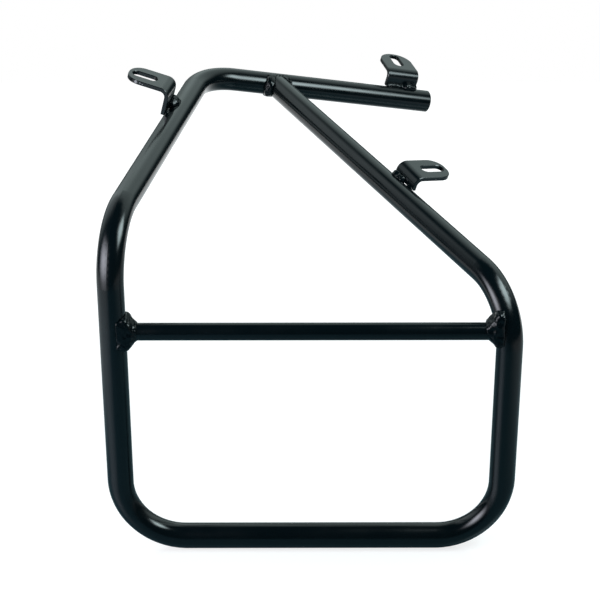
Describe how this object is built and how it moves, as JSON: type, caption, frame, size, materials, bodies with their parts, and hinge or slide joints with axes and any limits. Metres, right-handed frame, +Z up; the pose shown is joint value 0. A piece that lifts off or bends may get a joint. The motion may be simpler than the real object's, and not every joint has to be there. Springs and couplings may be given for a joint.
{
  "type": "pannier frame",
  "caption": "Bent-tube carrier for a motorbike side bag: an upright loop with a cross bar, stays running inboard to a rail, and slotted plate brackets that bolt it to the machine.",
  "frame": {"origin": "middle of the bottom bar of the bag loop, on the tube's axis", "axes": "+X along the bottom bar, to the right as seen from outboard; +Y inboard, towards the machine; +Z up, with the bag loop upright"},
  "size_m": [0.284, 0.3665, 0.2998],
  "materials": {
    "tube_coat": "satin black powder coat",
    "bracket_coat": "satin black powder coat on flat plate",
    "weld_coat": "black powder coat over weld beads"
  },
  "bodies": {
    "root": {"main_tube": "tube_coat", "cross_bar": "tube_coat", "left_bracket": "bracket_coat", "right_bracket": "bracket_coat", "rail_bracket": "bracket_coat", "weld_joint": "weld_coat", "weld_cross_left": "weld_coat", "weld_cross_right": "weld_coat", "weld_left_front": "weld_coat", "weld_left_rear": "weld_coat", "weld_right_front": "weld_coat", "weld_right_rear": "weld_coat", "weld_rail": "weld_coat"}
  },
  "joints": []
}
